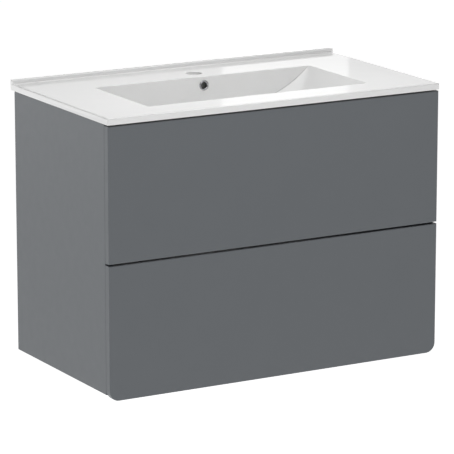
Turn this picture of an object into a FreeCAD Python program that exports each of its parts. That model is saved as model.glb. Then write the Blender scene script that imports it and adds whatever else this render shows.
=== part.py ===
import FreeCAD, Part
import math
import os

# Wall-hung bathroom vanity cabinet with a ceramic washbasin and two drawers.
# Millimetres. X runs to the right as seen from the front, Y towards the wall, Z up.
# The origin lies on the wall plane, at the centre of the four wall-plate holes.

# ---- Boards and carcass ----
cabinet_width = 800.0
board = 16.0                    # thickness of the carcass, box and front boards
wall_gap = 15.0                 # from the carcass's back edge to the wall
carcass_depth = 415.5
carcass_top_z = 65.0
carcass_height = 572.0
rear_rail_height = 90.0
rear_top_rail_drop = 95.0       # from the carcass's top down to the rear top rail
front_rail_depth = 36.0
edge_radius = 1.0               # rounding of the edge banding

# ---- Drawer fronts ----
front_height = 288.0
front_spacing = 4.0             # gap between the two fronts
front_overhang = 11.0           # the lower front hangs this far below the carcass
front_clearance = 0.5           # between a closed front and the carcass
front_corner_radius = 22.0
front_edge_radius = 1.5

# ---- Drawer boxes ----
runner_gap = 12.7               # between a side panel and a drawer box
box_depth = 350.0
bottom_board = 5.0
groove_depth = 6.0
bottom_lift = 10.0              # from a box's lower edge to its bottom board
thin_board = 12.0               # walls of the trap cut-out
cutout_half_width = 110.0
cutout_depth = 148.0
upper_box_z = -208.0            # lower edge of the upper drawer box
upper_box_height = 120.0
lower_box_z = -482.0
lower_box_height = 180.0

# ---- Runners: three nested steel channels with two rows of balls each ----
steel = 1.2
runner_length = 350.0
runner_setback = 3.5            # from the carcass's front edge
upper_runner_z = -160.0
lower_runner_z = -408.0
cabinet_member_half = 22.5
middle_member_half = 17.2
drawer_member_half = 12.0
middle_member_inset = 2.4       # from a side panel to the middle member's web
middle_member_depth = 8.2
cabinet_member_depth = 9.7
drawer_member_depth = 7.9
lip = 1.4                       # turned-in lips that keep the balls in
cage_sheet = 0.5
cage_length = 172.0
cage_lead = 88.0                # from the runner's front end to the cages at rest
balls_in_row = 6
ball_pitch = 28.0
ball_clearance = 0.05
cage_clearance = 0.3            # from a cage's web to the channel behind it
cage_flange_half = 0.3
cage_hole_play = 0.1
outer_mouth_depth = 9.2         # from a side panel to the edge of the outer cage's flanges
outer_ball_depth = 5.8          # from a side panel to the outer balls' centres
inner_mouth_depth = 9.6
inner_ball_depth = 7.0
runner_end_screw = 30.0         # from a runner's end to its end screws
runner_middle_screw = 160.0

# ---- Push latches ----
latch_width = 30.0
latch_length = 36.0
latch_height = 20.0
latch_back_gap = 36.0           # from the wall to the latch's back
plunger_radius = 3.5
plunger_length = 30.0
plunger_tip_gap = 0.4           # to the closed drawer box
plunger_play = 0.1
plunger_rounding = 1.2
plunger_end_room = 1.0
latch_corner_radius = 2.0

# ---- Hangers and wall plates ----
hanger_x = 374.0                # centre of a hook
hanger_width = 18.0
hanger_front_y = -76.0
hanger_back_y = -20.0
hanger_bottom_z = 12.0
hanger_top_z = 60.0
hanger_corner_radius = 3.0
hanger_edge_radius = 1.0
peg_radius = 5.0
peg_rear_y = -32.0
peg_spacing = 32.0
peg_low_z = 22.0
peg_high_z = 46.0
hook_width = 12.0
hook_front_y = -62.0
hook_thickness = 11.0           # height of the bar over the plate's lip
hook_heel = 8.0                 # extra height of the bar inside the housing
hook_heel_end_y = -24.0
hook_slope_end_y = -16.0
nib_front_y = -4.6
nib_back_y = -1.6
nib_length = 14.0
hook_play = 0.2
height_screw_z = 20.0
height_screw_length = 16.0
depth_screw_z = 45.5
depth_screw_length = 12.0
adjuster_radius = 3.5
adjuster_play = 0.1
adjuster_stick_out = 3.0        # in front of the housing
adjuster_tip_gap = 0.2
adjuster_recess_depth = 1.6
adjuster_recess_half_length = 2.4
plate_x = 362.0                 # centre of a wall plate
plate_width = 60.0
plate_sheet = 2.5
plate_hole_half_spacing = 10.0
plate_hole_radius = 3.25
plate_lip_top = 40.0
plate_lip_height = 20.0
plate_bottom_z = -20.0
plate_corner_radius = 4.0

# ---- Fasteners ----
cam_radius = 7.5
cam_height = 12.5
cam_distance = 24.0             # from a board's end to the cam's centre
cam_slot_radius = 0.9
cam_slot_length = 9.0
cam_slot_inset = 1.2
bolt_radius = 3.0
bolt_play = 0.2                 # thinner than its hole
bolt_head_length = 3.0
bolt_neck_length = 4.0
bolt_neck_depth = 1.0
dowel_radius = 4.0
dowel_length = 30.0
dowel_in_panel = 11.0
dowel_chamfer = 0.8
bottom_cam_from_front = 60.0
bottom_cam_from_back = 90.0
bottom_dowel_spacing = 32.0     # from a cam to the dowel behind it
rail_dowel_spacing = 30.0       # from a rear rail's cam to the dowels above and below
front_rail_cam_offset = -8.0    # from the middle of the front rail
front_rail_dowel_offset = 10.0
screw_radius = 1.8
screw_head_radius = 2.8
screw_tip_gap = 3.0             # left under the face of a 16 mm board
recess_half_width = 0.5         # cross recess in a screw's head
front_screw_x = 300.0
front_screw_rise = 28.0         # from a box's lower edge to its lower screws
front_screw_drop = 24.0         # from a box's upper edge to its upper screws
front_screw_depth = 10.0        # into the front panel
pan_head_radius = 4.5
pan_head_height = 2.2
pan_head_rounding = 1.2
pan_recess_depth = 1.2
pan_recess_half_length = 2.2

# ---- Wall spacers ----
spacer_x = 300.0
spacer_radius = 13.0
spacer_rounding = 1.5
spacer_groove_depth = 3.0
spacer_groove_offset = 3.0      # from the cabinet's back
stem_radius = 4.0
stem_length = 12.0

# ---- Washbasin ----
basin_width = 803.0
basin_depth = 449.0
slab = 14.0
basin_edge_radius = 3.0
basin_corner_radius = 4.0
ledge_height = 9.0
ledge_depth = 10.5
ledge_radius = 3.5
bowl_half_width = 266.0
bowl_front_y = -371.0
bowl_back_y = -129.5
bowl_depth = 73.0
ramp_radius = 290.0             # the bowl's two ends are large concave arcs
back_draft = 4.0                # degrees that the bowl's back wall leans
front_draft = 10.0
bowl_floor_radius = 24.0
bowl_lip_radius = 2.0
ceramic = 9.0
tap_y = -86.0
tap_hole_radius = 17.5
waste_y = -240.0
waste_hole_radius = 23.0
waste_boss_radius = 38.0
overflow_drop = 19.5            # from the deck to the overflow's centre
overflow_hole_radius = 9.0
ring_radius = 11.0
ring_bore_radius = 6.8
ring_thickness = 2.0
ring_rounding = 0.9
sleeve_play = 0.05
duct_half_width = 16.0
duct_thickness = 9.0
duct_wall = 7.0
overlap = 1.0                   # how far joined or cutting shapes reach past each other

# ---- Places that follow from the sizes above ----
half_width = cabinet_width / 2
inner_half = half_width - board
box_half = inner_half - runner_gap
box_inner_half = box_half - board
carcass_back_y = -wall_gap
carcass_front_y = carcass_back_y - carcass_depth
front_back_y = carcass_front_y - front_clearance
front_face_y = front_back_y - board
carcass_bottom_z = carcass_top_z - carcass_height
lower_front_z = carcass_bottom_z - front_overhang
upper_front_z = lower_front_z + front_height + front_spacing
box_back_y = front_back_y + box_depth
runner_front_y = carcass_front_y + runner_setback
runner_back_y = runner_front_y + runner_length
deck_z = carcass_top_z + slab
bowl_floor_z = deck_z - bowl_depth
outer_floor_z = bowl_floor_z - ceramic
duct_passage_top_z = outer_floor_z - overlap
duct_passage_z = duct_passage_top_z - duct_thickness
duct_bottom_z = duct_passage_z - duct_wall
duct_back_y = bowl_back_y + duct_wall + duct_thickness
rear_top_rail_z = carcass_top_z - rear_top_rail_drop - rear_rail_height
rear_bottom_rail_z = carcass_bottom_z + board
rear_front_y = carcass_back_y - board
overflow_z = deck_z - overflow_drop
overflow_y = bowl_back_y - overflow_drop * math.tan(math.radians(back_draft))


# ---------------------------------------------------------------- helpers

def vector(x, y, z):
    return FreeCAD.Vector(x, y, z)


def box(x0, x1, y0, y1, z0, z1):
    """A box between two corners."""
    return Part.makeBox(x1 - x0, y1 - y0, z1 - z0, vector(x0, y0, z0))


def rod(x, y, z, axis, radius, length):
    """A cylinder from a point along an axis."""
    return Part.makeCylinder(radius, length, vector(x, y, z), vector(*axis))


def mirrored(shape):
    """The same piece on the other side of the cabinet's middle plane."""
    return shape.mirror(vector(0, 0, 0), vector(1, 0, 0))


def both_sides(shapes):
    return list(shapes) + [mirrored(shape) for shape in shapes]


def prism_yz(points, x0, x1):
    """A polygon in the Y-Z plane, extruded along X."""
    corners = [vector(x0, y, z) for y, z in points]
    face = Part.Face(Part.makePolygon(corners + corners[:1]))
    return face.extrude(vector(x1 - x0, 0, 0))


def fillet_where(shape, radius, chosen):
    """Rounds the edges for which chosen(edge) is true."""
    edges = [edge for edge in shape.Edges if chosen(edge)]
    return shape.makeFillet(radius, edges)


def runs_along(edge, axis):
    """True for a straight edge parallel to an axis: 0 for X, 1 for Y, 2 for Z."""
    first, last = edge.Vertexes[0].Point, edge.Vertexes[-1].Point
    span = last - first
    return all(abs(span[i]) < 1e-6 for i in range(3) if i != axis) and span.Length > 1e-6


def lies_at(edge, axis, value):
    """True when every point of an edge has this coordinate."""
    bounds = edge.BoundBox
    low = (bounds.XMin, bounds.YMin, bounds.ZMin)[axis]
    high = (bounds.XMax, bounds.YMax, bounds.ZMax)[axis]
    return abs(low - value) < 1e-4 and abs(high - value) < 1e-4


def is_circle(edge):
    return len(edge.Vertexes) == 1


def cross_recess(x, z, y0, y1, half_length):
    """Two crossed slots for a screwdriver, from y0 to y1."""
    half = recess_half_width
    flat = box(x - half_length, x + half_length, y0, y1, z - half, z + half)
    return flat.fuse(box(x - half, x + half, y0, y1, z - half_length, z + half_length))


def export(name, shape):
    shape.exportStep("parts/" + name + ".step")


def export_group(name, solids):
    export(name, Part.makeCompound(solids))


# ---------------------------------------------------------------- washbasin

def bowl_ends(grow):
    """The bowl's X-Z outline, with two concave ramps, extruded along Y."""
    radius = ramp_radius + grow
    floor_z = bowl_floor_z - grow
    centre_z = floor_z + radius
    ramp_run = math.sqrt(ramp_radius ** 2 - (ramp_radius - bowl_depth) ** 2)
    centre_x = bowl_half_width - ramp_run
    top_x = bowl_half_width + grow
    half_angle = math.asin((top_x - centre_x) / radius) / 2
    end_z = centre_z - radius * math.cos(2 * half_angle)
    middle_x = centre_x + radius * math.sin(half_angle)
    middle_z = centre_z - radius * math.cos(half_angle)
    above = deck_z + board
    y0 = bowl_front_y - board

    def point(x, z):
        return vector(x, y0, z)

    edges = [
        Part.makeLine(point(-top_x, above), point(-top_x, end_z)),
        Part.Arc(point(-top_x, end_z), point(-middle_x, middle_z), point(-centre_x, floor_z)).toShape(),
        Part.makeLine(point(-centre_x, floor_z), point(centre_x, floor_z)),
        Part.Arc(point(centre_x, floor_z), point(middle_x, middle_z), point(top_x, end_z)).toShape(),
        Part.makeLine(point(top_x, end_z), point(top_x, above)),
        Part.makeLine(point(top_x, above), point(-top_x, above)),
    ]
    length = bowl_back_y - bowl_front_y + 2 * board
    return Part.Face(Part.Wire(edges)).extrude(vector(0, length, 0))


def bowl_walls(grow):
    """The bowl's Y-Z outline, with steep front and back walls, extruded along X."""
    floor_z = bowl_floor_z - grow
    back_slope = math.tan(math.radians(back_draft))
    front_slope = math.tan(math.radians(front_draft))
    above = deck_z + board
    drop = deck_z - floor_z
    points = [
        (bowl_back_y + grow + board * back_slope, above),
        (bowl_back_y + grow - drop * back_slope, floor_z),
        (bowl_front_y - grow + drop * front_slope, floor_z),
        (bowl_front_y - grow - board * front_slope, above),
    ]
    half_length = bowl_half_width + 2 * board
    walls = prism_yz(points, -half_length, half_length)

    def foot(edge):
        return runs_along(edge, 0) and lies_at(edge, 2, floor_z)

    return fillet_where(walls, bowl_floor_radius + grow, foot)


def bowl_form(grow):
    return bowl_ends(grow).common(bowl_walls(grow))


def basin_slab():
    """The flat top with rounded corners, and the ledge along its back edge."""
    half = basin_width / 2
    ledge_top_z = deck_z + ledge_height

    def front_corner(edge):
        return runs_along(edge, 2) and lies_at(edge, 1, -basin_depth)

    def deck_rim(edge):
        return lies_at(edge, 2, deck_z) and edge.BoundBox.YMin < -basin_edge_radius

    def ledge_front(edge):
        return runs_along(edge, 0) and lies_at(edge, 1, -ledge_depth) and lies_at(edge, 2, ledge_top_z)

    plate = box(-half, half, -basin_depth, 0, carcass_top_z, deck_z)
    plate = fillet_where(plate, basin_corner_radius, front_corner)
    plate = fillet_where(plate, basin_edge_radius, deck_rim)
    ledge = box(-half, half, -ledge_depth, 0, deck_z - basin_edge_radius, ledge_top_z)
    ledge = fillet_where(ledge, ledge_radius, ledge_front)
    return plate.fuse(ledge).removeSplitter()


def overflow_duct():
    """Outside and inside of the duct that runs from the overflow down to the waste hole."""
    front_y = bowl_back_y - ceramic
    back_y = duct_back_y + duct_wall
    half = duct_half_width + duct_wall
    outside = box(-half, half, front_y, back_y, duct_bottom_z, carcass_top_z)
    foot = box(-half, half, waste_y, back_y, duct_bottom_z, outer_floor_z + ceramic / 2)
    half = duct_half_width
    inside = box(-half, half, bowl_back_y + duct_wall, duct_back_y, duct_passage_z, carcass_top_z - overlap)
    passage = box(-half, half, waste_y, duct_back_y, duct_passage_z, duct_passage_top_z)
    return outside.fuse(foot), inside.fuse(passage)


def tilted_rod(radius, start, length):
    """A cylinder square to the bowl's leaning back wall, at the overflow; start is measured from the wall."""
    lean = math.radians(back_draft)
    axis = vector(0, math.cos(lean), -math.sin(lean))
    base = vector(0, overflow_y, overflow_z) + axis * start
    return Part.makeCylinder(radius, length, base, axis)


def washbasin():
    """One ceramic casting: slab, bowl, waste boss and overflow duct, with its three holes."""
    outside, inside = overflow_duct()
    below_deck = box(-basin_width, basin_width, -basin_depth, 0, -cabinet_width, carcass_top_z + overlap)
    boss_height = bowl_floor_z - ceramic / 4 - duct_bottom_z
    body = basin_slab().fuse(bowl_form(ceramic).common(below_deck))
    body = body.fuse(outside)
    body = body.fuse(rod(0, waste_y, duct_bottom_z, (0, 0, 1), waste_boss_radius, boss_height))
    body = body.cut(bowl_form(0))
    body = body.cut(inside)
    through = 2 * ceramic
    waste_start_z = duct_bottom_z - overlap
    body = body.cut(rod(0, waste_y, waste_start_z, (0, 0, 1), waste_hole_radius, boss_height + through))
    body = body.cut(rod(0, tap_y, carcass_top_z - overlap, (0, 0, 1), tap_hole_radius, slab + through))
    body = body.cut(tilted_rod(overflow_hole_radius, -ring_thickness, duct_wall + duct_thickness / 2))
    body = body.removeSplitter()

    def bowl_lip(edge):
        bounds = edge.BoundBox
        inside_x = max(-bounds.XMin, bounds.XMax) < bowl_half_width + overlap
        inside_y = bounds.YMin > bowl_front_y - overlap and bounds.YMax < bowl_back_y + overlap
        return inside_x and inside_y and lies_at(edge, 2, deck_z)

    return fillet_where(body, bowl_lip_radius, bowl_lip)


def overflow_ring():
    """Chrome ring: a flange on the bowl's wall and a sleeve in the hole."""

    def outer_edge(edge):
        return is_circle(edge) and edge.CenterOfMass.y < overflow_y - ring_thickness / 2

    flange = tilted_rod(ring_radius, -ring_thickness, ring_thickness)
    flange = fillet_where(flange, ring_rounding, outer_edge)
    sleeve = tilted_rod(overflow_hole_radius - sleeve_play, 0, duct_wall - overlap)
    bore = tilted_rod(ring_bore_radius, -duct_wall, 3 * duct_wall)
    return flange.fuse(sleeve).cut(bore).removeSplitter()


# ---------------------------------------------------------------- carcass

def joint_places():
    """Where boards meet the right side panel: (y, z, kind, side of the board that the cam is let into)."""
    bottom_mid = carcass_bottom_z + board / 2
    rear_mid = carcass_back_y - board / 2
    rail_mid = rear_rail_height / 2
    top_rail_mid = carcass_top_z - board / 2
    front_mid = carcass_front_y + front_rail_depth / 2
    places = []
    for y in (carcass_front_y + bottom_cam_from_front, carcass_back_y - bottom_cam_from_back):
        places.append((y, bottom_mid, "cam", (0, 0, -1)))
        places.append((y + bottom_dowel_spacing, bottom_mid, "dowel", None))
    for z in (rear_top_rail_z + rail_mid, rear_bottom_rail_z + rail_mid):
        places.append((rear_mid, z, "cam", (0, 1, 0)))
        places.append((rear_mid, z + rail_dowel_spacing, "dowel", None))
        places.append((rear_mid, z - rail_dowel_spacing, "dowel", None))
    places.append((front_mid + front_rail_cam_offset, top_rail_mid, "cam", (0, 0, -1)))
    places.append((front_mid + front_rail_dowel_offset, top_rail_mid, "dowel", None))
    return places


def cam_lock(y, z, side):
    """A cam housing let into a board's face, with a cross slot in its head."""
    towards = vector(*side)
    outer = vector(inner_half - cam_distance, y, z) + towards * (board / 2)
    body = Part.makeCylinder(cam_radius, cam_height, outer, towards * -1)
    bolt_hole_radius = bolt_radius + bolt_play / 2
    body = body.cut(rod(inner_half - cam_distance, y, z, (1, 0, 0), bolt_hole_radius, cam_distance))
    along = (0, side[2], side[1])
    for direction in ((1, 0, 0), along):
        start = outer - vector(*direction) * (cam_slot_length / 2) - towards * cam_slot_inset
        slot = Part.makeCylinder(cam_slot_radius, cam_slot_length, start, vector(*direction))
        body = body.cut(slot)
        body = body.cut(slot.translated(towards * cam_slot_radius))
    return body


def cam_bolt(y, z):
    """A steel bolt: threaded into the side panel, with a neck and a head that the cam pulls."""
    head_x = inner_half - cam_distance + overlap
    neck_x = head_x + bolt_head_length
    shank = rod(head_x, y, z, (1, 0, 0), bolt_radius - bolt_play, inner_half + dowel_in_panel - head_x)
    neck = rod(neck_x, y, z, (1, 0, 0), bolt_radius, bolt_neck_length)
    neck = neck.cut(rod(neck_x, y, z, (1, 0, 0), bolt_radius - bolt_neck_depth, bolt_neck_length))
    return shank.cut(neck)


def dowel(y, z):
    start = inner_half - (dowel_length - dowel_in_panel)
    peg = rod(start, y, z, (1, 0, 0), dowel_radius, dowel_length)
    return peg.makeChamfer(dowel_chamfer, [edge for edge in peg.Edges if is_circle(edge)])


def joint_holes():
    """Everything drilled out of the boards for the joints on the right side."""
    holes = []
    cam_x = inner_half - cam_distance
    dowel_x = inner_half - (dowel_length - dowel_in_panel)
    for y, z, kind, side in joint_places():
        if kind == "cam":
            outer = vector(cam_x, y, z) + vector(*side) * (board / 2)
            holes.append(Part.makeCylinder(cam_radius, cam_height, outer, vector(*side) * -1))
            holes.append(rod(cam_x, y, z, (1, 0, 0), bolt_radius, cam_distance + dowel_in_panel))
        else:
            holes.append(rod(dowel_x, y, z, (1, 0, 0), dowel_radius, dowel_length))
    return holes


def export_joint_hardware():
    cams = []
    bolts = []
    pegs = []
    for y, z, kind, side in joint_places():
        if kind == "cam":
            cams.append(cam_lock(y, z, side))
            bolts.append(cam_bolt(y, z))
        else:
            pegs.append(dowel(y, z))
    export_group("cam_locks", both_sides(cams))
    export_group("cam_bolts", both_sides(bolts))
    export_group("carcass_dowels", both_sides(pegs))


def side_panel():
    """The right side panel, drilled for its joints, its hanger and its runner screws."""
    panel = box(inner_half, half_width, carcass_front_y, carcass_back_y, carcass_bottom_z, carcass_top_z)
    panel = fillet_where(panel, edge_radius, lambda e: lies_at(e, 0, half_width))
    tools = joint_holes()
    tools += [hanger_peg(y, z) for y, z in hanger_peg_places()]
    depth = board - screw_tip_gap
    for z in (upper_runner_z, lower_runner_z):
        tools += [rod(inner_half, y, z, (1, 0, 0), screw_radius, depth) for y in runner_screw_places()]
    for tool in tools:
        panel = panel.cut(tool)
    return panel


def carcass_board(x_half, y0, y1, z0, z1):
    """A board that spans the carcass, drilled at both ends."""
    shape = box(-x_half, x_half, y0, y1, z0, z1)
    for hole in both_sides(joint_holes()):
        shape = shape.cut(hole)
    return shape


def rear_rail(z):
    """A rail between the side panels, flush with their back edges."""
    return carcass_board(inner_half, rear_front_y, carcass_back_y, z, z + rear_rail_height)


def rear_bottom_rail():
    """The rear rail that the wall spacers screw into."""
    rail = rear_rail(rear_bottom_rail_z)
    for x in (-spacer_x, spacer_x):
        rail = rail.cut(rod(x, carcass_back_y, spacer_z(), (0, -1, 0), stem_radius, stem_length))
    return rail


def spacer_z():
    return rear_bottom_rail_z + rear_rail_height / 2


def wall_spacer(x):
    """An adjustable pad on a threaded stem, between the rear bottom rail and the wall."""
    z = spacer_z()
    pad = rod(x, carcass_back_y, z, (0, 1, 0), spacer_radius, wall_gap)
    pad = fillet_where(pad, spacer_rounding, lambda e: is_circle(e) and lies_at(e, 1, 0))
    groove_y = carcass_back_y + spacer_groove_offset
    groove = rod(x, groove_y, z, (0, 1, 0), spacer_radius + overlap, spacer_groove_depth)
    core = rod(x, groove_y, z, (0, 1, 0), spacer_radius - spacer_groove_depth, spacer_groove_depth)
    stem = rod(x, carcass_back_y, z, (0, -1, 0), stem_radius, stem_length)
    return pad.cut(groove.cut(core)).fuse(stem)


def export_carcass():
    export("right_side_panel", side_panel())
    export("left_side_panel", mirrored(side_panel()))
    bottom_top_z = carcass_bottom_z + board
    rail_back_y = carcass_front_y + front_rail_depth
    bottom = carcass_board(inner_half, carcass_front_y, carcass_back_y, carcass_bottom_z, bottom_top_z)
    export("bottom_panel", bottom)
    export("rear_top_rail", rear_rail(rear_top_rail_z))
    export("rear_bottom_rail", rear_bottom_rail())
    top_rail = carcass_board(inner_half, carcass_front_y, rail_back_y, carcass_top_z - board, carcass_top_z)
    export("front_top_rail", top_rail)
    export_group("wall_spacers", [wall_spacer(x) for x in (-spacer_x, spacer_x)])
    export_joint_hardware()


# ---------------------------------------------------------------- hangers

def hanger_peg_places():
    """(y, z) of the three pegs: two low ones and a high one between them."""
    low = [(peg_rear_y - peg_spacing, peg_low_z), (peg_rear_y, peg_low_z)]
    return low + [(peg_rear_y - peg_spacing / 2, peg_high_z)]


def hanger_peg(y, z):
    return rod(inner_half, y, z, (1, 0, 0), peg_radius, dowel_in_panel)


def hook_shape(grow):
    """The hook's outline: a bar that reaches over the wall plate's lip, with a nib behind it."""
    under_z = plate_lip_top
    heel_z = under_z - hook_heel - grow
    top_z = under_z + hook_thickness + grow
    points = [
        (hook_front_y - grow, heel_z),
        (hook_heel_end_y + grow, heel_z),
        (hook_slope_end_y + grow, under_z - grow),
        (nib_front_y, under_z - grow),
        (nib_front_y, under_z - nib_length),
        (nib_back_y, under_z - nib_length),
        (nib_back_y, top_z),
        (hook_front_y - grow, top_z),
    ]
    half = hook_width / 2 + grow
    return prism_yz(points, hanger_x - half, hanger_x + half)


def hanger_screw_places():
    """(z, length) of the height screw and the depth screw."""
    return ((height_screw_z, height_screw_length), (depth_screw_z, depth_screw_length))


def hanger_housing():
    """The right housing, pegged into the side panel."""
    x0 = inner_half - hanger_width
    body = box(x0, inner_half, hanger_front_y, hanger_back_y, hanger_bottom_z, hanger_top_z)
    body = fillet_where(body, hanger_corner_radius, lambda e: runs_along(e, 0))
    body = fillet_where(body, hanger_edge_radius, lambda e: lies_at(e, 0, x0))
    for y, z in hanger_peg_places():
        body = body.fuse(hanger_peg(y, z))
    body = body.cut(hook_shape(hook_play))
    radius = adjuster_radius + adjuster_play
    for z, length in hanger_screw_places():
        body = body.cut(rod(hanger_x, hanger_front_y, z, (0, 1, 0), radius, length))
    return body.removeSplitter()


def hanger_screw(z, length):
    """An adjusting screw with a cross recess in its front end."""
    head_y = hanger_front_y - adjuster_stick_out
    reach = length + adjuster_stick_out - adjuster_tip_gap
    screw = rod(hanger_x, head_y, z, (0, 1, 0), adjuster_radius, reach)
    recess_y = head_y + adjuster_recess_depth
    return screw.cut(cross_recess(hanger_x, z, head_y, recess_y, adjuster_recess_half_length))


def wall_plate():
    """The right wall plate: a flange on the wall and a lip that stands off it."""
    joggle_z = plate_lip_top - plate_lip_height
    stand_off = 3 * plate_sheet
    points = [
        (0, plate_bottom_z),
        (0, joggle_z + plate_sheet),
        (-stand_off + plate_sheet, joggle_z + plate_sheet),
        (-stand_off + plate_sheet, plate_lip_top),
        (-stand_off, plate_lip_top),
        (-stand_off, joggle_z),
        (-plate_sheet, joggle_z),
        (-plate_sheet, plate_bottom_z),
    ]
    half = plate_width / 2
    plate = prism_yz(points, plate_x - half, plate_x + half)

    def lower_corner(edge):
        return runs_along(edge, 1) and lies_at(edge, 2, plate_bottom_z)

    plate = fillet_where(plate, plate_corner_radius, lower_corner)
    for z in (-plate_hole_half_spacing, plate_hole_half_spacing):
        plate = plate.cut(rod(plate_x, overlap, z, (0, -1, 0), plate_hole_radius, plate_sheet + 2 * overlap))
    return plate


def export_hangers():
    export("right_hanger_housing", hanger_housing())
    export("left_hanger_housing", mirrored(hanger_housing()))
    export("right_hanger_hook", hook_shape(0))
    export("left_hanger_hook", mirrored(hook_shape(0)))
    screws = [hanger_screw(z, length) for z, length in hanger_screw_places()]
    export_group("hanger_adjusting_screws", both_sides(screws))
    export("right_wall_plate", wall_plate())
    export("left_wall_plate", mirrored(wall_plate()))


# ---------------------------------------------------------------- runners, right side

def runner_screw_places():
    front_y = runner_front_y + runner_end_screw
    return (front_y, runner_front_y + runner_middle_screw, runner_back_y - runner_end_screw)


def channel(web_x, mouth_x, z, high, lip_height):
    """A channel along the runner: a web, two flanges reaching to the mouth, and turned-in lips."""
    y0, y1 = runner_front_y, runner_back_y
    outside = max(web_x, mouth_x)
    inside = min(web_x, mouth_x)
    web = box(web_x - steel, web_x, y0, y1, z - high, z + high)
    if web_x < mouth_x:
        web = web.translated(vector(steel, 0, 0))
    for side in (-1, 1):
        edge_z = z + side * high
        flange_z = sorted((edge_z, edge_z - side * steel))
        lip_z = sorted((edge_z, edge_z - side * (steel + lip_height)))
        web = web.fuse(box(inside, outside, y0, y1, *flange_z))
        if lip_height:
            web = web.fuse(box(mouth_x, mouth_x + steel, y0, y1, *lip_z))
    return web.removeSplitter()


def screw_holes(shape, x, z):
    """The channel with its web drilled for flush screw heads."""
    for y in runner_screw_places():
        shape = shape.cut(rod(x, y, z, (1, 0, 0), screw_head_radius, steel))
    return shape


def cabinet_member(z):
    """The outer channel, fixed to the side panel, with lips that keep the outer balls in."""
    shape = channel(inner_half, inner_half - cabinet_member_depth, z, cabinet_member_half, lip)
    return screw_holes(shape, inner_half - steel, z)


def middle_member(z):
    """The channel between the other two, with lips that keep the inner balls in."""
    web_x = inner_half - middle_member_inset
    return channel(web_x, web_x - middle_member_depth, z, middle_member_half, lip)


def drawer_member(z):
    """The inner channel, fixed to the drawer box."""
    shape = channel(box_half, box_half + drawer_member_depth, z, drawer_member_half, 0)
    return screw_holes(shape, box_half, z)


def ball_cage(z, web_x, mouth_x, ball_x, row_high, radius):
    """A folded sheet-steel cage with its two rows of balls, as separate solids."""
    y0 = runner_front_y + cage_lead
    y1 = y0 + cage_length
    shape = box(web_x - cage_sheet, web_x, y0, y1, z - row_high, z + row_high)
    for side in (-1, 1):
        low_z = z + side * row_high - cage_flange_half
        high_z = z + side * row_high + cage_flange_half
        shape = shape.fuse(box(mouth_x, web_x, y0, y1, low_z, high_z))
    balls = []
    first_y = (y0 + y1) / 2 - ball_pitch * (balls_in_row - 1) / 2
    for index in range(balls_in_row):
        y = first_y + index * ball_pitch
        for side in (-1, 1):
            centre_z = z + side * row_high
            hole = rod(ball_x, y, centre_z - overlap, (0, 0, 1), radius + cage_hole_play, 2 * overlap)
            shape = shape.cut(hole)
            balls.append(Part.makeSphere(radius, vector(ball_x, y, centre_z)))
    return [shape.removeSplitter()] + balls


def outer_cage(z):
    """Between the cabinet member and the middle member."""
    low = middle_member_half
    high = cabinet_member_half - steel
    radius = (high - low) / 2 - ball_clearance
    web_x = inner_half - steel - cage_clearance
    mouth_x = inner_half - outer_mouth_depth
    return ball_cage(z, web_x, mouth_x, inner_half - outer_ball_depth, (low + high) / 2, radius)


def inner_cage(z):
    """Between the middle member and the drawer member."""
    low = drawer_member_half
    high = middle_member_half - steel
    radius = (high - low) / 2 - ball_clearance
    web_x = inner_half - middle_member_inset - steel - cage_clearance
    mouth_x = inner_half - inner_mouth_depth
    return ball_cage(z, web_x, mouth_x, inner_half - inner_ball_depth, (low + high) / 2, radius)


def flush_screw(x, y, z, direction):
    """A wood screw whose head sits flush in a runner's web; direction is 1 or -1 along X."""
    head = rod(x, y, z, (direction, 0, 0), screw_head_radius, steel)
    shank_length = steel + board - screw_tip_gap
    return head.fuse(rod(x, y, z, (direction, 0, 0), screw_radius, shank_length))


def export_runners(name, z):
    export("right_" + name + "_cabinet_runner", cabinet_member(z))
    export("left_" + name + "_cabinet_runner", mirrored(cabinet_member(z)))
    export("right_" + name + "_middle_runner", middle_member(z))
    export("left_" + name + "_middle_runner", mirrored(middle_member(z)))
    export("right_" + name + "_drawer_runner", drawer_member(z))
    export("left_" + name + "_drawer_runner", mirrored(drawer_member(z)))
    export_group(name + "_outer_ball_cages", both_sides(outer_cage(z)))
    export_group(name + "_inner_ball_cages", both_sides(inner_cage(z)))
    box_screws = [flush_screw(box_half + steel, y, z, -1) for y in runner_screw_places()]
    export_group(name + "_runner_screws", both_sides(box_screws))


def export_cabinet_runner_screws():
    screws = []
    for z in (upper_runner_z, lower_runner_z):
        screws += [flush_screw(inner_half - steel, y, z, 1) for y in runner_screw_places()]
    export_group("cabinet_runner_screws", both_sides(screws))


# ---------------------------------------------------------------- push latches

def latch_x():
    return box_half - board / 2


def latch_housing(z):
    """A latch body on the side panel, behind the drawer box."""
    back_y = -latch_back_gap
    front_y = back_y - latch_length
    x0 = inner_half - latch_width
    half = latch_height / 2
    body = box(x0, inner_half, front_y, back_y, z - half, z + half)
    body = fillet_where(body, latch_corner_radius, lambda e: runs_along(e, 1) and lies_at(e, 0, x0))
    bore_back_y = box_back_y + plunger_tip_gap + plunger_length + plunger_end_room
    return body.cut(rod(latch_x(), bore_back_y, z, (0, -1, 0), plunger_radius + plunger_play, plunger_length))


def latch_plunger(z):
    """A round plunger whose tip stands just behind the closed drawer box."""
    tip_y = box_back_y + plunger_tip_gap
    plunger = rod(latch_x(), tip_y, z, (0, 1, 0), plunger_radius, plunger_length)
    return fillet_where(plunger, plunger_rounding, lambda e: is_circle(e) and lies_at(e, 1, tip_y))


def export_latches():
    heights = {"upper": upper_runner_z, "lower": lower_runner_z}
    export_group("push_latch_housings", both_sides([latch_housing(z) for z in heights.values()]))
    for name, z in heights.items():
        export_group(name + "_latch_plungers", both_sides([latch_plunger(z)]))


# ---------------------------------------------------------------- drawers

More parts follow.
